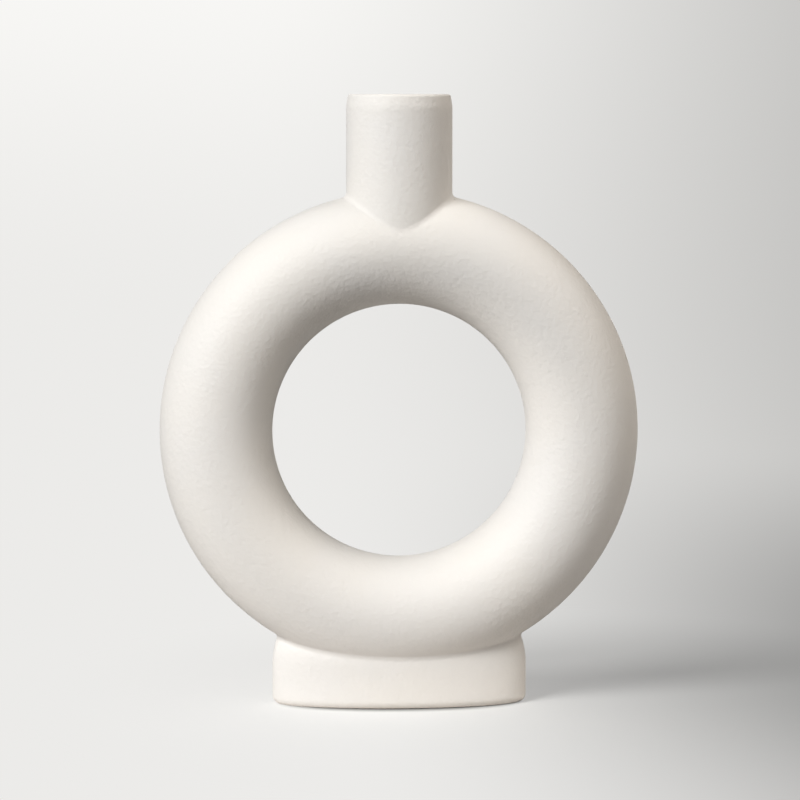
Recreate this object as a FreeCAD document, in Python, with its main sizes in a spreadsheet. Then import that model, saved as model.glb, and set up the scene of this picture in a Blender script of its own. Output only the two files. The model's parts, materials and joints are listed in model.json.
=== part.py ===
import FreeCAD, Part
import math
import os
import Sketcher

# Donut vase: a hollow ring on edge, an oval foot under it and a straight round neck on top.
# Origin at the middle of the foot's underside, +Z up, the ring's axis along Y, front towards -Y.
# The clay pieces are luted together. The ring is two half shells with a layer of slip between
# their rims, and a soft coil is pressed into the joints of the neck and the foot and struck off.

# Driving sizes, in millimetres
SIZES = {
    "ring_radius": 75.0,
    "tube_radius": 23.0,
    "ring_wall": 4.6,
    "seam_slip": 0.5,
    "neck_inset": 1.4,
    "neck_rise": 39.2,
    "neck_wall": 4.8,
    "foot_rise": 14.8,
    "foot_half_width": 52.2,
    "foot_setback": 5.6,
    "foot_thickness": 6.5,
    "foot_shoulder_inset": 5.4,
    "foot_recess": 1.5,
    "foot_base_thickness": 4.5,
    "vent_radius": 2.0,
    "overrun": 3.0,
}

# Roundings and coils, as shares of the wall that each one is on
SHARES = {
    "lip_outer_share": 0.62,
    "lip_inner_share": 0.3,
    "neck_coil_share": 0.45,
    "neck_bevel_share": 0.75,
    "foot_edge_share": 0.62,
    "foot_coil_share": 0.34,
    "foot_bevel_share": 0.36,
    "foot_tongue_share": 0.25,
}

# The foot's outline stands straight and then draws in under the ring. Each pair is a height, as a
# share of the outline's own, and how far in it lies there, as a share of the shoulder's inset.
FOOT_OUTLINE_SHARES = ((0.0, 0.0), (0.25, 0.0), (0.5, 0.0), (0.66, 0.12), (0.83, 0.47), (1.0, 1.0))

# What follows from the driving sizes. The ring and the neck are drawn about the ring's centre.
DERIVED = {
    "ring_centre": "sizes.foot_rise + sizes.tube_radius + sizes.ring_radius",
    "ring_reach": "sizes.ring_radius + sizes.tube_radius",
    "ring_bore": "sizes.tube_radius - sizes.ring_wall",
    "half_slip": "sizes.seam_slip / 2",
    "neck_radius": "sizes.tube_radius - sizes.neck_inset",
    "neck_bore": "neck_radius - sizes.neck_wall",
    "neck_top": "ring_reach + sizes.neck_rise",
    "lip_outer": "sizes.lip_outer_share * sizes.neck_wall",
    "lip_inner": "sizes.lip_inner_share * sizes.neck_wall",
    "neck_coil": "sizes.neck_coil_share * sizes.neck_wall",
    "neck_bevel": "sizes.neck_bevel_share * neck_coil",
    "neck_tongue": "neck_radius - neck_coil",
    "foot_half_depth": "sizes.tube_radius - sizes.foot_setback",
    "foot_top": "ring_centre - sqrt(ring_reach^2 - sizes.foot_half_width^2) + sizes.overrun",
    "foot_edge": "sizes.foot_edge_share * sizes.foot_thickness",
    "foot_coil": "sizes.foot_coil_share * sizes.foot_thickness",
    "foot_bevel": "sizes.foot_bevel_share * foot_coil",
    "foot_tongue": "sizes.foot_tongue_share * sizes.foot_thickness",
}

doc = FreeCAD.newDocument("donut_vase")
sheet = doc.addObject("Spreadsheet::Sheet", "sizes")
for row, (name, number) in enumerate({**SIZES, **SHARES}.items(), start=1):
    sheet.set(f"A{row}", name)
    sheet.set(f"B{row}", str(number))
    sheet.setAlias(f"B{row}", name)
doc.recompute()

derived = doc.addObject("App::VarSet", "derived")
for name, formula in DERIVED.items():
    derived.addProperty("App::PropertyFloat", name)
    derived.setExpression(name, formula)
doc.recompute()

UPRIGHT = FreeCAD.Vector(0, 0, 1)
ON_AXIS = FreeCAD.Vector(0, 0, 0)


def origin_plane(body, role):
    """One of the body's own origin planes."""
    return next(item for item in body.Origin.OriginFeatures if item.Role == role)


def sketch_on(body, role, name):
    """A sketch on one of the body's own origin planes."""
    sketch = body.newObject("Sketcher::SketchObject", name)
    sketch.AttachmentSupport = (origin_plane(body, role), [""])
    sketch.MapMode = "FlatFace"
    return sketch


def bind(sketch, kind, arguments, number, formula, name):
    """Add a dimension to a sketch and tie it to the sheet."""
    index = sketch.addConstraint(Sketcher.Constraint(kind, *arguments, number))
    sketch.renameConstraint(index, name)
    sketch.setExpression(f"Constraints.{name}", formula)


def rings_on(body, name, *radius_names):
    """Round outlines about the Z axis, level with the tube's centreline at the top of the ring."""
    sketch = sketch_on(body, "XY_Plane", name)
    sketch.setExpression("AttachmentOffset.Base.z", "sizes.ring_radius")
    for radius_name in radius_names:
        radius = getattr(derived, radius_name)
        circle = sketch.addGeometry(Part.Circle(ON_AXIS, UPRIGHT, radius), False)
        sketch.addConstraint(Sketcher.Constraint("Coincident", circle, 3, -1, 1))
        bind(sketch, "Radius", (circle,), radius, f"derived.{radius_name}", radius_name)
    return sketch


def tube_wall(sketch, start, finish):
    """The tube's wall in section, counter-clockwise from one upright cut to another.

    Each cut is a pair of signs: which side of the seam it is on, and above or below the centre.
    """
    centre = FreeCAD.Vector(0, sheet.ring_radius, 0)
    half_slip = derived.half_slip
    arcs = []
    for radius in (sheet.tube_radius, derived.ring_bore):
        rise = math.sqrt(radius**2 - half_slip**2)
        angles = [math.atan2(above * rise, side * half_slip) for side, above in (start, finish)]
        if angles[1] < angles[0]:
            angles[1] += 2 * math.pi
        circle = Part.Circle(centre, UPRIGHT, radius)
        arcs.append(sketch.addGeometry(Part.ArcOfCircle(circle, *angles), False))
    outer, inner = arcs
    sketch.addConstraint(Sketcher.Constraint("Coincident", outer, 3, inner, 3))
    sketch.addConstraint(Sketcher.Constraint("PointOnObject", outer, 3, -2))
    bind(sketch, "DistanceY", (-1, 1, outer, 3), centre.y, "sizes.ring_radius", "ring_radius")
    bind(sketch, "Radius", (outer,), sheet.tube_radius, "sizes.tube_radius", "tube_radius")
    bind(sketch, "Radius", (inner,), derived.ring_bore, "derived.ring_bore", "ring_bore")
    for end, (side, _) in ((1, start), (2, finish)):
        outer_point = sketch.getPoint(outer, end)
        inner_point = sketch.getPoint(inner, end)
        rim = sketch.addGeometry(Part.LineSegment(outer_point, inner_point), False)
        sketch.addConstraint(Sketcher.Constraint("Coincident", rim, 1, outer, end))
        sketch.addConstraint(Sketcher.Constraint("Coincident", rim, 2, inner, end))
        sketch.addConstraint(Sketcher.Constraint("Vertical", rim))
        across = (-1, 1, rim, 1) if side > 0 else (rim, 1, -1, 1)
        bind(sketch, "DistanceX", across, half_slip, "derived.half_slip", f"half_slip_{end}")


def turned(body, section, axis):
    """Turn a section all the way round one of its own sketch's axes."""
    feature = body.newObject("PartDesign::Revolution", f"{body.Name}_turned")
    feature.Profile = section
    feature.ReferenceAxis = (section, [axis])
    feature.Angle = 360


def ring_piece(name, start, finish, meets_neck):
    """A piece of the ring's wall. Where it meets the neck, the neck's bore goes on through it."""
    body = doc.addObject("PartDesign::Body", name)
    body.setExpression("Placement.Base.z", "derived.ring_centre")
    section = sketch_on(body, "YZ_Plane", f"{name}_section")
    tube_wall(section, start, finish)
    turned(body, section, "H_Axis")
    if meets_neck:
        hole = body.newObject("PartDesign::Pocket", f"{name}_water_hole")
        hole.Profile = rings_on(body, f"{name}_hole_outline", "neck_bore")
        hole.Reversed = True
        hole.setExpression("Length", "sizes.tube_radius + sizes.overrun")
    return body


def cut_by_ring(body, name, tube_formula):
    """Cut a body by the whole ring, whose tube has the radius given."""
    cutter = body.newObject("PartDesign::SubtractiveTorus", name)
    cutter.AttachmentSupport = (origin_plane(body, "XZ_Plane"), [""])
    cutter.MapMode = "FlatFace"
    cutter.setExpression("Radius1", "sizes.ring_radius")
    cutter.setExpression("Radius2", tube_formula)


def neck_section(sketch):
    """The neck's wall in section, with its lip rounded outside and in."""
    bore, outside, low = derived.neck_bore, derived.neck_radius, sheet.ring_radius
    top, lip_in, lip_out = derived.neck_top, derived.lip_inner, derived.lip_outer
    foot_in = FreeCAD.Vector(bore, low, 0)
    foot_out = FreeCAD.Vector(outside, low, 0)
    lip_in_centre = FreeCAD.Vector(bore + lip_in, top - lip_in, 0)
    lip_out_centre = FreeCAD.Vector(outside - lip_out, top - lip_out, 0)
    quarter = math.pi / 2
    outer_lip = Part.ArcOfCircle(Part.Circle(lip_out_centre, UPRIGHT, lip_out), 0, quarter)
    inner_lip = Part.ArcOfCircle(Part.Circle(lip_in_centre, UPRIGHT, lip_in), quarter, 2 * quarter)
    outline = [
        Part.LineSegment(foot_out, outer_lip.StartPoint),
        outer_lip,
        Part.LineSegment(outer_lip.EndPoint, inner_lip.StartPoint),
        inner_lip,
        Part.LineSegment(inner_lip.EndPoint, foot_in),
        Part.LineSegment(foot_in, foot_out),
    ]
    outer_side, outer_round, rim, inner_round, inner_side, seat = [
        sketch.addGeometry(edge, False) for edge in outline
    ]
    smooth = (outer_side, outer_round, rim, inner_round, inner_side)
    for before, after in zip(smooth, smooth[1:]):
        sketch.addConstraint(Sketcher.Constraint("Tangent", before, 2, after, 1))
    sketch.addConstraint(Sketcher.Constraint("Coincident", inner_side, 2, seat, 1))
    sketch.addConstraint(Sketcher.Constraint("Coincident", seat, 2, outer_side, 1))
    sketch.addConstraint(Sketcher.Constraint("Vertical", outer_side))
    sketch.addConstraint(Sketcher.Constraint("Vertical", inner_side))
    sketch.addConstraint(Sketcher.Constraint("Horizontal", seat))
    bind(sketch, "DistanceX", (-1, 1, seat, 2), outside, "derived.neck_radius", "neck_radius")
    bind(sketch, "DistanceX", (-1, 1, seat, 1), bore, "derived.neck_bore", "neck_bore")
    bind(sketch, "DistanceY", (-1, 1, seat, 1), low, "sizes.ring_radius", "ring_radius")
    bind(sketch, "DistanceY", (-1, 1, rim, 1), top, "derived.neck_top", "neck_top")
    bind(sketch, "Radius", (outer_round,), lip_out, "derived.lip_outer", "lip_outer")
    bind(sketch, "Radius", (inner_round,), lip_in, "derived.lip_inner", "lip_inner")


def neck_tube(name):
    """The neck, saddle-cut to the ring. Its wall is cut back outside for the joint's coil."""
    body = doc.addObject("PartDesign::Body", name)
    body.setExpression("Placement.Base.z", "derived.ring_centre")
    wall = sketch_on(body, "XZ_Plane", "neck_section")
    neck_section(wall)
    turned(body, wall, "V_Axis")
    cut_by_ring(body, "neck_coil_room", "sizes.tube_radius + derived.neck_coil")
    tongue = body.newObject("PartDesign::Pad", "neck_tongue")
    tongue.Profile = rings_on(body, "neck_tongue_outline", "neck_bore", "neck_tongue")
    tongue.setExpression("Length", "sizes.tube_radius + derived.neck_coil")
    cut_by_ring(body, "neck_saddle", "sizes.tube_radius")
    return body


def whole_ring(name, tube_formula):
    """The ring as a solid, whose tube has the radius given."""
    ring = doc.addObject("Part::Torus", name)
    ring.Placement.Rotation = FreeCAD.Rotation(FreeCAD.Vector(1, 0, 0), 90)
    ring.setExpression("Radius1", "sizes.ring_radius")
    ring.setExpression("Radius2", tube_formula)
    ring.setExpression("Placement.Base.z", "derived.ring_centre")
    return ring


def post(name, radius_formula, low_formula, height_formula):
    """An upright round solid on the Z axis."""
    cylinder = doc.addObject("Part::Cylinder", name)
    cylinder.setExpression("Radius", radius_formula)
    cylinder.setExpression("Height", height_formula)
    cylinder.setExpression("Placement.Base.z", low_formula)
    return cylinder


def oval(name, inset_formula, level_formula):
    """The foot's plan, drawn in by an inset, at a level."""
    ellipse = doc.addObject("Part::Ellipse", name)
    ellipse.setExpression("MajorRadius", f"sizes.foot_half_width - ({inset_formula})")
    ellipse.setExpression("MinorRadius", f"derived.foot_half_depth - ({inset_formula})")
    ellipse.setExpression("Placement.Base.z", level_formula)
    return ellipse


def oval_block(name, inset_formula, low_formula, height_formula):
    """An upright solid with the foot's plan, drawn in by an inset."""
    block = doc.addObject("Part::Extrusion", name)
    block.Base = oval(f"{name}_plan", inset_formula, low_formula)
    block.DirMode = "Custom"
    block.Dir = UPRIGHT
    block.Solid = True
    block.setExpression("LengthFwd", height_formula)
    return block


def cut(name, base, tool):
    """One solid cut by another."""
    result = doc.addObject("Part::Cut", name)
    result.Base = base
    result.Tool = tool
    return result


def dress(kind, name, base, edges_of, size):
    """Round or bevel the edges that a function picks from the base's shape."""
    doc.recompute()
    result = doc.addObject(kind, name)
    result.Base = base
    result.Edges = [(number, size, size) for number in edges_of(base.Shape)]
    return result


def lowest_edge(shape):
    """The number of the edge round the foot of a shape."""
    heights = [edge.CenterOfMass.z for edge in shape.Edges]
    return [heights.index(min(heights)) + 1]


def joint_edges(shape):
    """The numbers of the edges where another face meets the ring's round surface."""
    beside = {}
    for face in shape.Faces:
        for edge in face.Edges:
            beside.setdefault(edge.hashCode(), []).append(isinstance(face.Surface, Part.Toroid))
    edges = enumerate(shape.Edges, start=1)
    return [number for number, edge in edges if sorted(beside[edge.hashCode()]) == [False, True]]


def luting_coil(name, ring, piece, reach, core, bevel):
    """The coil in a joint, struck off at a slope between the ring's surface and the piece's.

    It fills the room that the piece leaves within reach of the ring, in as far as the core.
    """
    joined = doc.addObject("Part::Fuse", f"{name}_joined")
    joined.Base = ring
    joined.Tool = piece
    near = doc.addObject("Part::Common", f"{name}_near")
    near.Base = dress("Part::Chamfer", f"{name}_struck", joined, joint_edges, bevel)
    near.Tool = reach
    return cut(name, cut(f"{name}_outside_ring", near, ring), core)


# The ring: two half shells, and the slip between their rims, outside and round the centre hole
FRONT, REAR, ABOVE, BELOW = -1, 1, 1, -1
nodes = [
    ring_piece("ring_front_half", (FRONT, ABOVE), (FRONT, BELOW), meets_neck=True),
    ring_piece("ring_rear_half", (REAR, BELOW), (REAR, ABOVE), meets_neck=True),
    ring_piece("outer_seam_slip", (REAR, ABOVE), (FRONT, ABOVE), meets_neck=True),
    ring_piece("inner_seam_slip", (FRONT, BELOW), (REAR, BELOW), meets_neck=False),
]
ring = whole_ring("ring_outline", "sizes.tube_radius")

# The neck and the coil round its joint, which are cut by the ring on the side of the crown
nodes.append(neck_tube("neck"))
crown_level = "derived.ring_centre + sizes.ring_radius"
post_height = "sizes.tube_radius + derived.neck_coil + sizes.overrun"
neck_reach = whole_ring("neck_coil_reach", "sizes.tube_radius + derived.neck_coil")
neck_post = post("neck_post", "derived.neck_radius", crown_level, post_height)
neck_core = post("neck_core", "derived.neck_tongue", crown_level, post_height)
nodes.append(
    luting_coil("neck_joint_coil", ring, neck_post, neck_reach, neck_core, derived.neck_bevel)
)

# The foot: an oval wall, saddle-cut under the ring and cut back outside for its own coil
outline = doc.addObject("Part::Loft", "foot_outline_square")
outline.Sections = [
    oval(f"foot_plan_{index}", f"{inset_share} * sizes.foot_shoulder_inset",
         f"{height_share} * derived.foot_top")
    for index, (height_share, inset_share) in enumerate(FOOT_OUTLINE_SHARES, start=1)
]
outline.Solid = True
foot_outline = dress("Part::Fillet", "foot_outline", outline, lowest_edge, derived.foot_edge)
through = ("-sizes.overrun", "derived.foot_top + 2 * sizes.overrun")
foot_cavity = oval_block("foot_cavity", "sizes.foot_thickness", *through)
foot_core = oval_block("foot_core", "sizes.foot_thickness - derived.foot_tongue", *through)
foot_reach = whole_ring("foot_coil_reach", "sizes.tube_radius + derived.foot_coil")
foot_saddle = cut("foot_saddle", cut("foot_shell", foot_outline, foot_cavity), ring)
nodes.append(cut("foot_wall", foot_saddle, cut("foot_coil_room", foot_reach, foot_core)))
nodes.append(
    luting_coil("foot_joint_coil", ring, foot_outline, foot_reach, foot_core, derived.foot_bevel)
)

# The base, set up inside the foot's wall, with the hole that lets the kiln's heat out
base_plate = oval_block("foot_base_plate", "sizes.foot_thickness", "sizes.foot_recess",
                        "sizes.foot_base_thickness")
base_depth = "sizes.foot_recess + sizes.foot_base_thickness + 2 * sizes.overrun"
nodes.append(cut("foot_base", base_plate, post("foot_vent", "sizes.vent_radius",
                                               "-sizes.overrun", base_depth)))

doc.recompute()
failed = [item.Name for item in doc.Objects if {"Invalid", "Error"} & set(item.State)]
if failed:
    raise SystemExit(f"These objects failed: {failed}")
for node in nodes:
    if node.Shape.isNull() or not node.Shape.isValid() or len(node.Shape.Solids) != 1:
        raise SystemExit(f"{node.Label} isn't one valid solid")

os.makedirs("parts", exist_ok=True)
for node in nodes:
    node.Shape.exportStep(f"parts/{node.Label}.step")
    print(f"{node.Label}: {node.Shape.Volume:.0f} mm3")
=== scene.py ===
import json
import math

import bmesh
import bpy
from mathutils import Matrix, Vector


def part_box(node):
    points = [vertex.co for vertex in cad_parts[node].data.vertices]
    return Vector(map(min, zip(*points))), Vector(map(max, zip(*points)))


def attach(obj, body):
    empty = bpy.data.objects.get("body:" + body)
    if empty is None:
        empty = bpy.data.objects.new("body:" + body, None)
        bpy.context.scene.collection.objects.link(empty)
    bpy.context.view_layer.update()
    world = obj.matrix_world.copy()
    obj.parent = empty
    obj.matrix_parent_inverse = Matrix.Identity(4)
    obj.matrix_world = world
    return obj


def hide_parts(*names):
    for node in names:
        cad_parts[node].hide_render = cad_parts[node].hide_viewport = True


# Donut vase in matte off-white stoneware: a hollow ring on edge, a straight neck and an oval foot.
# The ring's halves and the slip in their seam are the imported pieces. The neck, the foot, its base
# and the soft coils in the two joints are modelled here, on the same centre lines and walls.

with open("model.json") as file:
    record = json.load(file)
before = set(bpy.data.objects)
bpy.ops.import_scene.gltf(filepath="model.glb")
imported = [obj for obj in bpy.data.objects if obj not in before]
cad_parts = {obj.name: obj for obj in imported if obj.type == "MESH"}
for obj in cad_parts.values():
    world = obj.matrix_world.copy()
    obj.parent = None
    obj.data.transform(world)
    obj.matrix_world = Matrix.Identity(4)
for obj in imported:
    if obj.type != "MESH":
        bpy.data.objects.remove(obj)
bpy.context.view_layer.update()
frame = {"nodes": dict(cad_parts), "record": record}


def tenth(length):
    """A measured length to the nearest tenth of a millimetre."""
    return round(length, 4)


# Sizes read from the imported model, in metres
ring_low, ring_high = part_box("ring_front_half")
neck_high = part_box("neck")[1]
foot_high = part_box("foot_wall")[1]
base_low, base_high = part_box("foot_base")
mouth = next(mount for mount in frame["record"]["mounts"] if mount["name"] == "mouth")

TUBE_RADIUS = tenth(-ring_low.y)
RING_RADIUS = tenth(ring_high.x) - TUBE_RADIUS
RING_CENTRE = tenth(ring_low.z) + TUBE_RADIUS + RING_RADIUS
NECK_RADIUS = tenth(neck_high.x)
NECK_BORE = mouth["dims"]["r_mm"] / 1000
NECK_WALL = NECK_RADIUS - NECK_BORE
NECK_TOP = tenth(neck_high.z)
FOOT_HALF_WIDTH = tenth(foot_high.x)
FOOT_HALF_DEPTH = tenth(foot_high.y)
FOOT_THICKNESS = FOOT_HALF_WIDTH - tenth(base_high.x)
BASE_LOW = tenth(base_low.z)
BASE_HIGH = tenth(base_high.z)

# Sizes of the shapes made here. The neck leans in a little below its lip, and the foot's front and
# back lean in by a share of the height. Each joint has a coil outside and a tongue of the wall inside.
LIP_LEAN = 0.0006
LIP_LEAN_RISE = 0.005
LIP_OUTER = 0.27 * NECK_WALL
LIP_INNER = 0.3 * NECK_WALL
BORE_START = 0.1 * NECK_WALL
LIP_TILT = math.degrees(math.atan(LIP_LEAN / LIP_LEAN_RISE))
NECK_COIL = 0.45 * NECK_WALL
NECK_TONGUE = NECK_RADIUS - NECK_COIL
NECK_HOLLOW = 0.0012
NECK_HOLLOW_SPREAD = 0.0007
FOOT_SHOULDER_INSET = 0.0044
FOOT_SHOULDER_LEVEL = 0.01645
FOOT_SHOULDER_RISE = 0.01645
FOOT_LEAN = 0.08
FOOT_EDGE = 0.5 * FOOT_THICKNESS
FOOT_INNER_EDGE = 0.2 * FOOT_THICKNESS
FOOT_COIL = 0.45 * FOOT_THICKNESS
FOOT_TONGUE = 0.8 * FOOT_THICKNESS
FOOT_HOLLOW = 0.0018
VENT_RADIUS = 0.002
VENT_EDGE = 0.0003

# How finely the shapes are made. The shares place rows of vertices, from 0 to 1 along a form.
NECK_STEPS = 256
FOOT_STEPS = 320
ROUND_ROWS = 12
SETTLING_STEPS = 24
SHARP_TURN = math.radians(35)
TURN_STEP = math.radians(0.2)
RISE_STEP = 0.00005
NECK_SHARES = (0, 0.02, 0.25, 0.5, 0.75, 0.96, 1)
LEAN_SHARES = (0.3, 0.6, 0.9)
NECK_COIL_SHARES = (0, 0.5, 0.9)
FOOT_COIL_SHARES = (0, 0.3, 0.6, 0.85, 0.97)
SLAB_SHARES = (0, 0.25, 0.5, 0.75, 0.93, 1)
SLAB_TOP_SHARES = (1, 0.5, 0)
WALL_SHARES = (0.04, 0.15, 0.3, 0.45, 0.6, 0.7, 0.8, 0.88, 0.95, 0.99, 1)
HOLLOW_SHARES = (0, 0.03, 0.08, 0.15, 0.24, 0.35, 0.5, 0.65, 0.76, 0.85, 0.92, 0.97, 1)
HOLLOW_PULL = 0.6


# Shapes. A band is a closed skin round the upright axis. It is grown row by row from a circle, and
# each row is a function that places a vertex by its turn about the axis.
def band(name, steps, rows):
    """A piece whose skin runs round the upright axis, through its rows and back to the first."""
    shape = bmesh.new()
    turn_layer = shape.verts.layers.float.new("turn")
    bmesh.ops.create_circle(shape, segments=steps, radius=1)
    for vertex in shape.verts:
        vertex[turn_layer] = math.atan2(vertex.co.y, vertex.co.x)
    first_edges = edges = shape.edges[:]
    vertices = shape.verts[:]
    for number, row in enumerate(rows):
        if number:
            grown = bmesh.ops.extrude_edge_only(shape, edges=edges)["geom"]
            vertices = [item for item in grown if isinstance(item, bmesh.types.BMVert)]
            edges = [item for item in grown if isinstance(item, bmesh.types.BMEdge)]
            edges = [edge for edge in edges if edge.is_boundary]
        for vertex in vertices:
            vertex.co = row(vertex[turn_layer])
    bmesh.ops.bridge_loops(shape, edges=first_edges + edges)
    return finished(name, shape)


def finished(name, shape):
    """Turn a closed shape into an object, smooth but for its true corners."""
    bmesh.ops.recalc_face_normals(shape, faces=shape.faces)
    for face in shape.faces:
        face.smooth = True
    for edge in shape.edges:
        edge.smooth = edge.calc_face_angle(0) < SHARP_TURN
    mesh = bpy.data.meshes.new(name)
    shape.to_mesh(mesh)
    shape.free()
    piece = bpy.data.objects.new(name, mesh)
    bpy.context.scene.collection.objects.link(piece)
    return piece


def on_ring(point, tube_radius=TUBE_RADIUS):
    """The nearest point to this one on the ring, whose tube has the radius given."""
    centre = Vector((0, 0, RING_CENTRE))
    level = Vector((point.x, 0, point.z)) - centre
    spine = centre + level.normalized() * RING_RADIUS
    return spine + (point - spine).normalized() * tube_radius


def ring_height(x, y, tube_radius=TUBE_RADIUS):
    """How far the ring's outer side is above or below its centre, over a place in plan."""
    reach = RING_RADIUS + math.sqrt(tube_radius**2 - y**2)
    return math.sqrt(reach**2 - x**2)


def over_ring(turn, radius, tube_radius=TUBE_RADIUS):
    """The place on the ring's crown at a radius from the neck's axis."""
    x, y = radius * math.cos(turn), radius * math.sin(turn)
    return Vector((x, y, RING_CENTRE + ring_height(x, y, tube_radius)))


def round_row(radius, height):
    """A level circle."""
    return lambda turn: Vector((radius * math.cos(turn), radius * math.sin(turn), height))


def oval_row(inset, height):
    """A level oval with the foot's plan, drawn in by an inset. Its front and back lean in with height."""
    half_width = FOOT_HALF_WIDTH - inset
    half_depth = FOOT_HALF_DEPTH - inset - FOOT_LEAN * height
    return lambda turn: Vector((half_width * math.cos(turn), half_depth * math.sin(turn), height))


def arc_rows(row, offset, level, radius, start, finish):
    """Rows along an arc in section, in degrees. The row function takes an offset and a level."""
    steps = [step / ROUND_ROWS for step in range(ROUND_ROWS + 1)]
    angles = [math.radians(start + (finish - start) * step) for step in steps]
    return [row(offset + radius * math.cos(a), level + radius * math.sin(a)) for a in angles]


def between(low, high, share):
    """A row between two others."""
    return lambda turn: low(turn).lerp(high(turn), share)


def hollow_row(joint, piece_side, ring_side, share):
    """A row of the smooth hollow in a joint, from the piece's surface, at 0, to the ring's, at 1.

    Each side is a function of the turn that gives a point and the surface's normal there. The
    hollow leaves both surfaces without a crease.
    """
    def row(turn):
        corner = joint(turn)
        ends = []
        for side in (piece_side, ring_side):
            point, normal = side(turn)
            way = corner - point
            along = way - normal * way.dot(normal)
            ends.append((point, point + along * HOLLOW_PULL))
        (start, start_pull), (finish, finish_pull) = ends
        rest = 1 - share
        return (start * rest**3 + start_pull * 3 * rest**2 * share
                + finish_pull * 3 * rest * share**2 + finish * share**3)
    return row


def joint_sides(joint, piece_normal, piece_surface, piece_width, ring_width):
    """The two edges of a joint's hollow: a way up the piece and out over the ring from the joint."""
    def frame_at(turn):
        corner = joint(turn)
        run = (joint(turn + TURN_STEP) - joint(turn - TURN_STEP)).normalized()
        spine = on_ring(corner, 0.0)
        ring_normal = (corner - spine).normalized()
        normal = piece_normal(corner)
        up = run.cross(normal).normalized()
        out = ring_normal.cross(run).normalized()
        if up.dot(ring_normal) < 0:
            up = -up
        if out.dot(normal) < 0:
            out = -out
        return corner, up, out

    def piece_side(turn):
        corner, up, _ = frame_at(turn)
        point = piece_surface(corner + up * piece_width(turn))
        return point, piece_normal(point)

    def ring_side(turn):
        corner, _, out = frame_at(turn)
        point = on_ring(corner + out * ring_width(turn))
        return point, (point - on_ring(point, 0.0)).normalized()

    return piece_side, ring_side


# The neck
def neck_normal(point):
    """The outward normal of the neck's wall."""
    return Vector((point.x, point.y, 0)).normalized()


def neck_surface(point):
    """The place on the neck's wall that is level with a point and nearest to it."""
    side = neck_normal(point) * NECK_RADIUS
    return Vector((side.x, side.y, point.z))


def neck_hollow_width(turn):
    """The neck's hollow is widest at the sides, where the ring runs out level."""
    return NECK_HOLLOW + NECK_HOLLOW_SPREAD * math.cos(turn)**2


def neck_joint(turn):
    """Where the neck's wall would meet the ring."""
    return over_ring(turn, NECK_RADIUS)


def neck_seat(turn):
    """Where the neck's wall starts outside, over the coil."""
    return over_ring(turn, NECK_RADIUS, TUBE_RADIUS + NECK_COIL)


def make_neck():
    """The tube with its soft lip, and the tongue that stands on the ring inside the coil."""
    lean_start = round_row(NECK_RADIUS, NECK_TOP - LIP_LEAN_RISE)
    lip_level = NECK_TOP - LIP_OUTER
    lip_radius = NECK_RADIUS - LIP_LEAN - LIP_OUTER
    inner_level = NECK_TOP - LIP_INNER
    lip = arc_rows(round_row, lip_radius, lip_level, LIP_OUTER, LIP_TILT, 90)
    rows = [between(neck_seat, lean_start, share) for share in NECK_SHARES]
    rows += [between(lean_start, lip[0], share) for share in LEAN_SHARES] + lip
    rows += arc_rows(round_row, NECK_BORE + LIP_INNER, inner_level, LIP_INNER, 90, 180)
    rows += [
        round_row(NECK_BORE, inner_level - BORE_START),
        round_row(NECK_BORE, (inner_level + RING_CENTRE + RING_RADIUS + TUBE_RADIUS) / 2),
        lambda turn: over_ring(turn, NECK_BORE),
        lambda turn: over_ring(turn, NECK_TONGUE),
        lambda turn: over_ring(turn, NECK_TONGUE, TUBE_RADIUS + NECK_COIL),
    ]
    return band("neck_tube", NECK_STEPS, rows)


def make_neck_coil():
    """The coil in the neck's joint, flush with the neck and hollowed out on to the ring."""
    sides = joint_sides(neck_joint, neck_normal, neck_surface, neck_hollow_width, neck_hollow_width)
    top = hollow_row(neck_joint, *sides, 0.0)
    rows = [lambda turn: over_ring(turn, NECK_TONGUE, TUBE_RADIUS + NECK_COIL)]
    rows += [between(neck_seat, top, share) for share in NECK_COIL_SHARES]
    rows += [hollow_row(neck_joint, *sides, share) for share in HOLLOW_SHARES]
    rows += [neck_joint, lambda turn: over_ring(turn, NECK_TONGUE)]
    return band("neck_coil", NECK_STEPS, rows)


# The foot
def foot_inset(height):
    """How far the foot's outline is drawn in at a height. It stands straight and then rounds in."""
    above = max(0.0, height - FOOT_SHOULDER_LEVEL) / FOOT_SHOULDER_RISE
    return FOOT_SHOULDER_INSET * above**2


def foot_turn(point):
    """The turn at which a point lies on the foot's plan."""
    level = oval_row(foot_inset(point.z), point.z)
    return math.atan2(point.y / level(math.pi / 2).y, point.x / level(0).x)


def foot_surface(point):
    """The place on the foot's wall that is level with a point."""
    return oval_row(foot_inset(point.z), point.z)(foot_turn(point))


def foot_normal(point):
    """The outward normal of the foot's wall, by small steps along it and up it."""
    turn = foot_turn(point)
    level = oval_row(foot_inset(point.z), point.z)
    run = level(turn + TURN_STEP / 2) - level(turn - TURN_STEP / 2)
    high, low = point.z + RISE_STEP, point.z - RISE_STEP
    climb = oval_row(foot_inset(high), high)(turn) - oval_row(foot_inset(low), low)(turn)
    return run.cross(climb).normalized()


def under_ring(turn, inset_at, tube_radius=TUBE_RADIUS):
    """Where the foot's plan meets the underside of the ring. The inset is a function of the height."""
    point = oval_row(0, BASE_HIGH)(turn)
    for _ in range(SETTLING_STEPS):
        height = RING_CENTRE - ring_height(point.x, point.y, tube_radius)
        point = oval_row(inset_at(height), height)(turn)
    return point


def foot_joint(turn):
    """Where the foot's wall would meet the ring."""
    return under_ring(turn, foot_inset)


def foot_seat(turn):
    """Where the foot's wall ends outside, under the coil."""
    return under_ring(turn, foot_inset, TUBE_RADIUS + FOOT_COIL)


def foot_inner_seat(inset, tube_radius=TUBE_RADIUS):
    """Where an inner face of the foot's wall, at an inset, meets the ring or the top of the coil."""
    return lambda turn: under_ring(turn, lambda height: inset, tube_radius)


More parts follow.
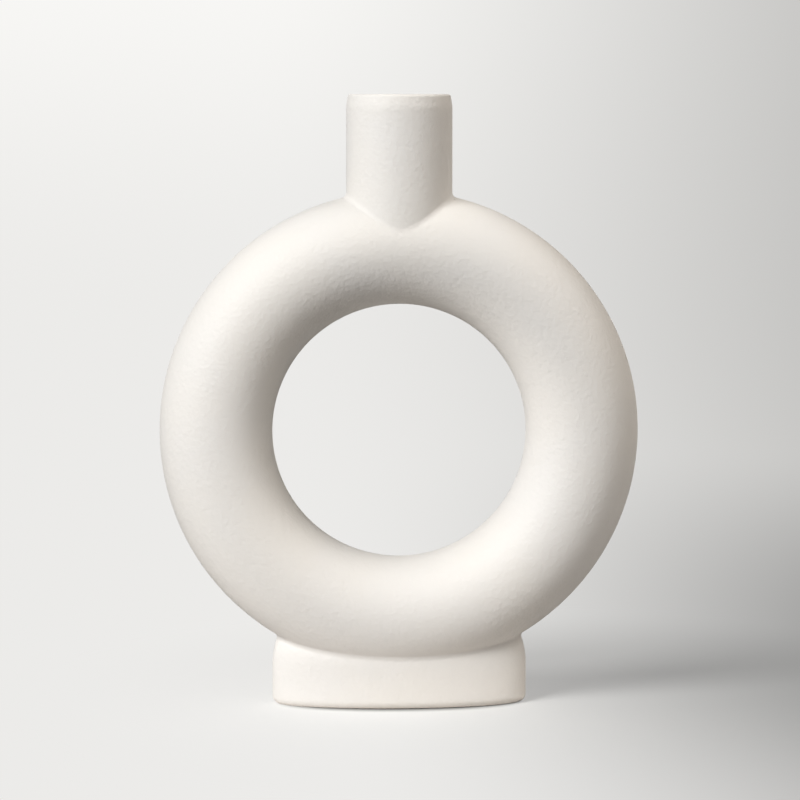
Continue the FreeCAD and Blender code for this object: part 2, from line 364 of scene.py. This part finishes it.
def foot_hollow_width(_):
    """The foot's hollow is equally wide all round."""
    return FOOT_HOLLOW


def up_foot(share):
    """A row of the foot's wall, at a share of the way from its rounded edge to its seat."""
    def row(turn):
        top = foot_seat(turn)
        height = FOOT_EDGE + (top.z - FOOT_EDGE) * share
        return oval_row(foot_inset(height), height)(turn)
    return row


def make_foot_wall():
    """The oval wall, with a round lower edge outside and a softened one inside."""
    inner = FOOT_INNER_EDGE
    rows = [oval_row(FOOT_THICKNESS, height) for height in (BASE_HIGH + inner, inner)]
    rows += arc_rows(oval_row, FOOT_THICKNESS - inner, inner, inner, 0, -90)
    rows += arc_rows(oval_row, FOOT_EDGE, FOOT_EDGE, FOOT_EDGE, 270, 180)
    rows += [up_foot(share) for share in WALL_SHARES]
    rows += [
        foot_inner_seat(FOOT_TONGUE, TUBE_RADIUS + FOOT_COIL),
        foot_inner_seat(FOOT_TONGUE),
        foot_inner_seat(FOOT_THICKNESS),
    ]
    return band("foot_wall_oval", FOOT_STEPS, rows)


def make_foot_coil():
    """The coil in the foot's joint, flush with the foot and hollowed out on to the ring."""
    sides = joint_sides(foot_joint, foot_normal, foot_surface, foot_hollow_width, foot_hollow_width)
    top = hollow_row(foot_joint, *sides, 0.0)

    def flush(share):
        def row(turn):
            low, high = foot_seat(turn), top(turn)
            return foot_surface(low.lerp(high, share))
        return row

    rows = [foot_inner_seat(FOOT_TONGUE, TUBE_RADIUS + FOOT_COIL)]
    rows += [flush(share) for share in FOOT_COIL_SHARES]
    rows += [hollow_row(foot_joint, *sides, share) for share in HOLLOW_SHARES]
    rows += [foot_joint, foot_inner_seat(FOOT_TONGUE)]
    return band("foot_coil", FOOT_STEPS, rows)


def make_foot_base():
    """The slab inside the foot, with the vent that lets the kiln's heat out."""
    def towards_vent(height, share, edge=0.0):
        outside = oval_row(FOOT_THICKNESS, height)
        inside = round_row(VENT_RADIUS + edge, height)
        return lambda turn: outside(turn).lerp(inside(turn), share)

    rows = [towards_vent(BASE_LOW, share, VENT_EDGE) for share in SLAB_SHARES]
    rows += [round_row(VENT_RADIUS, BASE_LOW + VENT_EDGE), round_row(VENT_RADIUS, BASE_HIGH - VENT_EDGE)]
    rows += [towards_vent(BASE_HIGH, share, VENT_EDGE) for share in SLAB_TOP_SHARES]
    return band("foot_slab", FOOT_STEPS, rows)


# Materials. Their values are written as sums, and each sum adds its own nodes.
class Value:
    """A value that varies over a surface."""

    def __init__(self, clay, socket):
        self.clay = clay
        self.socket = socket

    def __add__(self, other):
        return self.clay.sum("ADD", self, other)

    __radd__ = __add__

    def __mul__(self, other):
        return self.clay.sum("MULTIPLY", self, other)

    __rmul__ = __mul__

    def __sub__(self, other):
        return self.clay.sum("SUBTRACT", self, other)

    def __rsub__(self, other):
        return self.clay.sum("SUBTRACT", other, self)

    def __truediv__(self, other):
        return self.clay.sum("DIVIDE", self, other)


class Clay:
    """A material under construction."""

    def __init__(self, name):
        self.material = bpy.data.materials.new(name)
        self.material.use_nodes = True
        self.tree = self.material.node_tree
        self.tree.nodes.clear()

    def node(self, kind, settings=None, values=None, output=0):
        """Add a node. Its settings come first, and then its sockets, by name or number."""
        made = self.tree.nodes.new(kind)
        for name, setting in (settings or {}).items():
            setattr(made, name, setting)
        for key, value in (values or {}).items():
            if isinstance(value, Value):
                self.tree.links.new(value.socket, made.inputs[key])
            else:
                made.inputs[key].default_value = value
        return Value(self, made.outputs[output]) if made.outputs else made

    def sum(self, operation, first, second):
        return self.node("ShaderNodeMath", {"operation": operation}, {0: first, 1: second})

    def place(self):
        """Where a point is on the vase or the stage, in metres."""
        return self.node("ShaderNodeTexCoord", output="Object")

    def along(self, axis):
        """How far a place lies along an axis."""
        return self.node("ShaderNodeSeparateXYZ", values={"Vector": self.place()}, output=axis)

    def vector(self, operation, first, second=(0.0, 0.0, 0.0), output="Vector"):
        return self.node("ShaderNodeVectorMath", {"operation": operation}, {0: first, 1: second}, output)

    def noise(self, place, scale, detail):
        """Soft random relief, near 0.5 on average. The scale is in patches a metre."""
        values = {"Vector": place, "Scale": scale, "Detail": detail}
        return self.node("ShaderNodeTexNoise", values=values)

    def spots(self, place, scale, radius, share):
        """Round spots of 1 on 0, whose radius is a share of their spacing. A share of cells hold one."""
        settings = {"feature": "F1"}
        values = {"Vector": place, "Scale": scale, "Randomness": 1.0}
        distance = self.node("ShaderNodeTexVoronoi", settings, values, "Distance")
        colour = self.node("ShaderNodeTexVoronoi", settings, values, "Color")
        lot = self.node("ShaderNodeSeparateColor", values={"Color": colour}, output="Red")
        chosen = self.sum("LESS_THAN", lot, share)
        return self.ramp(distance, radius, radius * SPOT_CORE_SHARE) * chosen

    def ramp(self, value, start, finish):
        """A smooth step of a value, from 0 at the start to 1 at the finish."""
        values = {"Value": value, "From Min": start, "From Max": finish}
        return self.node("ShaderNodeMapRange", {"interpolation_type": "SMOOTHSTEP"}, values)

    def mix(self, share, first, second):
        """A colour between two, at a share of the way."""
        settings = {"data_type": "RGBA", "clamp_factor": True}
        return self.node("ShaderNodeMix", settings, {0: share, 6: first, 7: second}, 2)

    def surface(self, colour, roughness, height):
        """Close the material with a clay surface, whose relief is given in metres."""
        relief = self.node("ShaderNodeBump", values={"Strength": 1.0, "Distance": 1.0, "Height": height})
        values = {"Base Color": colour, "Roughness": roughness, "Normal": relief}
        shaded = self.node("ShaderNodeBsdfPrincipled", values=values)
        self.node("ShaderNodeOutputMaterial", values={"Surface": shaded})
        return self.material


# Colours of the clay, and its relief: scales are in patches a metre, and depths in metres. The slow
# cloud blends two whites.
OFF_WHITE = (0.81, 0.785, 0.757, 1)
WARM_WHITE = (0.82, 0.788, 0.748, 1)
PIT_SHADE = (0.66, 0.62, 0.56, 1)
GROG_TAN = (0.68, 0.62, 0.54, 1)
DRY_CLAY = (0.70, 0.655, 0.585, 1)
DRY_CLAY_WARM = (0.66, 0.60, 0.52, 1)

CLOUD_SCALE = 18
CLOUD_LOW = 0.35
CLOUD_HIGH = 0.65
GRAIN_SCALE = 1300
GRAIN_DEPTH = 0.00002
SAND_SCALE = 500
SAND_DEPTH = 0.00018
GRIT_SCALE = 420
GRIT_DEPTH = 0.00003
GRIT_RADIUS_SHARE = 0.36
GRIT_SHARE = 0.14
PIT_SCALE = 260
PIT_DEPTH = 0.00003
PIT_SHADE_SHARE = 0.15
PIT_RADIUS_SHARE = 0.13
PIT_SHARE = 0.14
SPECK_SCALE = 156
SPECK_TINT = 0.2
SPECK_RADIUS_SHARE = 0.08
SPECK_SHARE = 0.1
SPOT_CORE_SHARE = 0.2
ROUGHNESS_SPREAD = 0.2


def sandy_clay(name, white, warm, grain_share, roughness):
    """Fired clay with a fine sandy skin: grain over softer sand, a few proud grits and a few pits."""
    clay = Clay(name)
    place = clay.place()
    cloud = clay.noise(place, CLOUD_SCALE, 3.0)
    grain = clay.noise(place, GRAIN_SCALE, 1.0)
    sand = clay.noise(place, SAND_SCALE, 1.0)
    grits = clay.spots(place, GRIT_SCALE, GRIT_RADIUS_SHARE, GRIT_SHARE)
    pits = clay.spots(place, PIT_SCALE, PIT_RADIUS_SHARE, PIT_SHARE)
    specks = clay.spots(place, SPECK_SCALE, SPECK_RADIUS_SHARE, SPECK_SHARE)
    colour = clay.mix(clay.ramp(cloud, CLOUD_LOW, CLOUD_HIGH), white, warm)
    # The pits are also painted darker: painted shade in their hollows.
    colour = clay.mix(pits * PIT_SHADE_SHARE, colour, PIT_SHADE)
    colour = clay.mix(specks * SPECK_TINT, colour, GROG_TAN)
    relief = grain * (GRAIN_DEPTH * grain_share) + sand * (SAND_DEPTH * grain_share)
    height = relief + grits * (GRIT_DEPTH * grain_share) - pits * PIT_DEPTH
    return clay.surface(colour, roughness + (grain - 0.5) * ROUGHNESS_SPREAD, height)


def matte_stoneware():
    """The off-white body of the vase."""
    return sandy_clay("matte_stoneware_skin", OFF_WHITE, WARM_WHITE, 1.0, 0.62)


def luting_slip():
    """The coils are sponged smooth, so their grain is a little weaker."""
    return sandy_clay("luting_slip_skin", OFF_WHITE, WARM_WHITE, 0.85, 0.62)


def bare_stoneware():
    """The base is left dry and rougher."""
    return sandy_clay("bare_stoneware_skin", DRY_CLAY, DRY_CLAY_WARM, 1.8, 0.8)


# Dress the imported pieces, and put the modelled ones in place
wall_clay, slip_clay, bare_clay = matte_stoneware(), luting_slip(), bare_stoneware()
KEPT = {
    "ring_front_half": wall_clay,
    "ring_rear_half": wall_clay,
    "outer_seam_slip": slip_clay,
    "inner_seam_slip": slip_clay,
}
for node_name, material in KEPT.items():
    mesh = frame["nodes"][node_name].data
    mesh.materials.clear()
    mesh.materials.append(material)

MADE = [
    (make_neck, "neck", wall_clay, "matte_stoneware"),
    (make_neck_coil, "neck_joint_coil", slip_clay, "luting_slip"),
    (make_foot_wall, "foot_wall", wall_clay, "matte_stoneware"),
    (make_foot_coil, "foot_joint_coil", slip_clay, "luting_slip"),
    (make_foot_base, "foot_base", bare_clay, "bare_stoneware"),
]
for make, node_name, material, slot_name in MADE:
    piece = make()
    piece.data.materials.append(material)
    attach(piece, "root")
    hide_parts(node_name)


# The studio: a pale floor and a backdrop that share one grey, a soft key lamp from the upper left
# and two weak fill lamps from the right. The grey is painted dimmer to the right of the picture, a
# painted fall-off of light, and painted paler high up.
CAMERA_DISTANCE = 1.3
LAMP_DISTANCE = 2.2
LAMP_SIZE = 1.03
STAGE_STEPS = 128
FLOOR_RADIUS = 1.1
WALL_RADIUS = 3.0
WALL_CORNER = 1.2
WALL_HEIGHT = 4.0
FOOT_MIDDLE = (0.0, 0.0, 0.0)
SHADOW_MIDDLE = (0.06, 0.02, 0.0)
FADE_START = 0.06
FADE_END = 0.22
BOUNCE_START = 0.15
BOUNCE_END = 0.40
KEY_SHARE = 0.63
ROOM_SHARE = 0.595
# The painted line of shade under the foot's edge: where it starts and ends about the oval, and how much
# of the key's share it takes.
PAINTED_SHADE_UNDER_EDGE = -0.003
PAINTED_SHADE_END = 0.0065
PAINTED_EDGE_SHADE_SHARE = 0.5
SHADE_INSET = 0.007
SHADE_HALF_WIDTH = FOOT_HALF_WIDTH - SHADE_INSET
BLACK = (0, 0, 0, 1)
TOP_PAINTED_PALE = (0.943, 0.936, 0.917, 1)
PALE = (0.838, 0.831, 0.815, 1)
NEAR_PAINTED_DIM = (0.065, 0.065, 0.065, 1)
FAR_PAINTED_DIM = (0.495, 0.491, 0.479, 1)
FAR = 1.0
DIM_START = -0.022
DIM_END = 0.228
RISE_END = 0.46
FLOOR_BOUNCE = (0.83, 0.784, 0.738, 1)


def painted_studio_grey(stage, distance):
    """The studio's pale grey, with painted light: painted paler high up, and painted dimmer to the right,
    as a painted fall-off away from the key light.
    """
    pale = stage.mix(stage.ramp(stage.along("Z"), 0.0, RISE_END), PALE, TOP_PAINTED_PALE)
    dim = stage.mix(stage.ramp(distance, 0.0, FAR), NEAR_PAINTED_DIM, FAR_PAINTED_DIM)
    across = stage.along("X") / (distance + CAMERA_DISTANCE)
    return stage.mix(stage.ramp(across, DIM_START, DIM_END), pale, dim)


def from_point(stage, point):
    """The distance of a place from a point."""
    return stage.vector("DISTANCE", stage.place(), point, "Value")


def from_foot(stage):
    """About how far a place on the floor is from an oval a little shorter than the foot's plan."""
    def length(place):
        return stage.vector("LENGTH", place, output="Value")

    half_sizes = (SHADE_HALF_WIDTH, FOOT_HALF_DEPTH, 1.0)
    once = stage.vector("DIVIDE", stage.place(), half_sizes)
    twice = stage.vector("DIVIDE", once, half_sizes)
    reach = length(once)
    return reach * (reach - 1) / length(twice)


def ray(stage, kind):
    """1 for the rays of a kind, and 0 for the rest."""
    return stage.node("ShaderNodeLightPath", output=f"Is {kind} Ray")


def floor_material():
    """Paper that takes the key's shadow near the vase, and fades into the backdrop's grey round it.

    The camera also sees a painted glow on it that stands in for the room's soft light. A painted line of
    shade runs under the foot's edge, where the glow and the key's share of the paper are dimmed.
    """
    stage = Clay("floor_paper")
    distance = from_point(stage, FOOT_MIDDLE)
    grey = painted_studio_grey(stage, distance)
    near = 1 - stage.ramp(from_point(stage, SHADOW_MIDDLE), FADE_START, FADE_END)
    seen = ray(stage, "Camera")
    # Painted shade under the foot's edge: it dims the paper's colour and its glow in a line round the
    # foot.
    outside_painted_edge_shade = stage.ramp(from_foot(stage), PAINTED_SHADE_UNDER_EDGE, PAINTED_SHADE_END)
    key_share = near * KEY_SHARE * (1 - (1 - outside_painted_edge_shade) * PAINTED_EDGE_SHADE_SHARE)
    lit = stage.mix(key_share, BLACK, grey)
    bounce = stage.mix(stage.ramp(distance, BOUNCE_START, BOUNCE_END), FLOOR_BOUNCE, BLACK)
    paper = stage.node("ShaderNodeBsdfDiffuse", values={"Color": stage.mix(seen, bounce, lit)})
    strength = seen * (1 - near * (1 - ROOM_SHARE)) * outside_painted_edge_shade
    glow = stage.node("ShaderNodeEmission", values={"Color": grey, "Strength": strength})
    both = stage.node("ShaderNodeAddShader", values={0: paper, 1: glow})
    stage.node("ShaderNodeOutputMaterial", values={"Surface": both})
    return stage.material


def backdrop_material():
    """A grey that only the camera and reflections see, so that it adds no light."""
    stage = Clay("backdrop_paper")
    grey = painted_studio_grey(stage, from_point(stage, FOOT_MIDDLE))
    seen = ray(stage, "Camera") + ray(stage, "Glossy")
    glow = stage.node("ShaderNodeEmission", values={"Color": grey, "Strength": seen})
    stage.node("ShaderNodeOutputMaterial", values={"Surface": glow})
    return stage.material


def make_floor():
    """A round sheet of paper under the vase."""
    shape = bmesh.new()
    bmesh.ops.create_circle(shape, cap_ends=True, segments=STAGE_STEPS, radius=FLOOR_RADIUS)
    return finished("floor", shape)


def make_backdrop():
    """A round wall with a wide sweep at its foot, open at the top."""
    shape = bmesh.new()
    corner = WALL_RADIUS - WALL_CORNER
    points = [Vector((FLOOR_RADIUS, 0, 0))]
    for step in range(ROUND_ROWS + 1):
        angle = math.radians(90 * step / ROUND_ROWS)
        across = corner + WALL_CORNER * math.sin(angle)
        points.append(Vector((across, 0, WALL_CORNER * (1 - math.cos(angle)))))
    points.append(Vector((WALL_RADIUS, 0, WALL_HEIGHT)))
    vertices = [shape.verts.new(point) for point in points]
    edges = [shape.edges.new(pair) for pair in zip(vertices, vertices[1:])]
    bmesh.ops.spin(shape, geom=vertices + edges, axis=(0, 0, 1), cent=(0, 0, 0), angle=2 * math.pi,
                   steps=STAGE_STEPS, use_merge=True)
    return finished("backdrop", shape)


floor = make_floor()
floor.data.materials.append(floor_material())
backdrop = make_backdrop()
backdrop.data.materials.append(backdrop_material())
backdrop.visible_diffuse = False
backdrop.visible_shadow = False


def aim(thing, target):
    """Point a lamp or a camera at a place, upright."""
    way = Vector(target) - thing.location
    thing.rotation_euler = way.to_track_quat("-Z", "Y").to_euler()


def soft_lamp(name, left, up, watts, colour):
    """A square soft box, at so many degrees to the left of the front and up from the ring's centre."""
    left, up = math.radians(left), math.radians(up)
    lamp = bpy.data.lights.new(name, "AREA")
    lamp.shape = "SQUARE"
    lamp.size = LAMP_SIZE
    lamp.energy = watts
    lamp.color = colour
    held = bpy.data.objects.new(name, lamp)
    middle = Vector((0, 0, RING_CENTRE))
    way = Vector((-math.sin(left) * math.cos(up), -math.cos(left) * math.cos(up), math.sin(up)))
    held.location = middle + way * LAMP_DISTANCE
    bpy.context.scene.collection.objects.link(held)
    aim(held, middle)
    return held


soft_lamp("key_soft_box", 46, 30, 54.5, (0.995, 1.0, 0.995))
fills = [
    soft_lamp("top_right_soft_box", -70, 50, 20.0, (1.0, 0.945, 0.87)),
    soft_lamp("low_right_soft_box", -90, 25, 8.5, (1.0, 0.91, 0.82)),
]

# The fills are flagged off the floor, which keeps one shadow, the key's
flagged = bpy.data.collections.new("flagged_floor")
flagged.objects.link(floor)
flagged.collection_objects[0].light_linking.link_state = "EXCLUDE"
for lamp in fills:
    lamp.light_linking.receiver_collection = flagged

# The air gives no light
world = bpy.data.worlds.new("studio_air")
world.use_nodes = True
air = world.node_tree.nodes["Background"]
air.inputs["Strength"].default_value = 0.0
bpy.context.scene.world = world

# The camera stands level with the rim, a little to the left, and looks slightly down
CAMERA_LEFT = math.radians(2.6)
AIM_HEIGHT = 0.1253
AIM_RIGHT = 0.0003
LENS = 143.5

camera = bpy.data.objects.new("camera", bpy.data.cameras.new("camera"))
camera.data.lens = LENS
camera.location = (
    -CAMERA_DISTANCE * math.sin(CAMERA_LEFT), -CAMERA_DISTANCE * math.cos(CAMERA_LEFT), NECK_TOP
)
bpy.context.scene.collection.objects.link(camera)
aim(camera, (AIM_RIGHT, 0, AIM_HEIGHT))
bpy.context.scene.camera = camera
bpy.context.scene.view_settings.view_transform = "Standard"
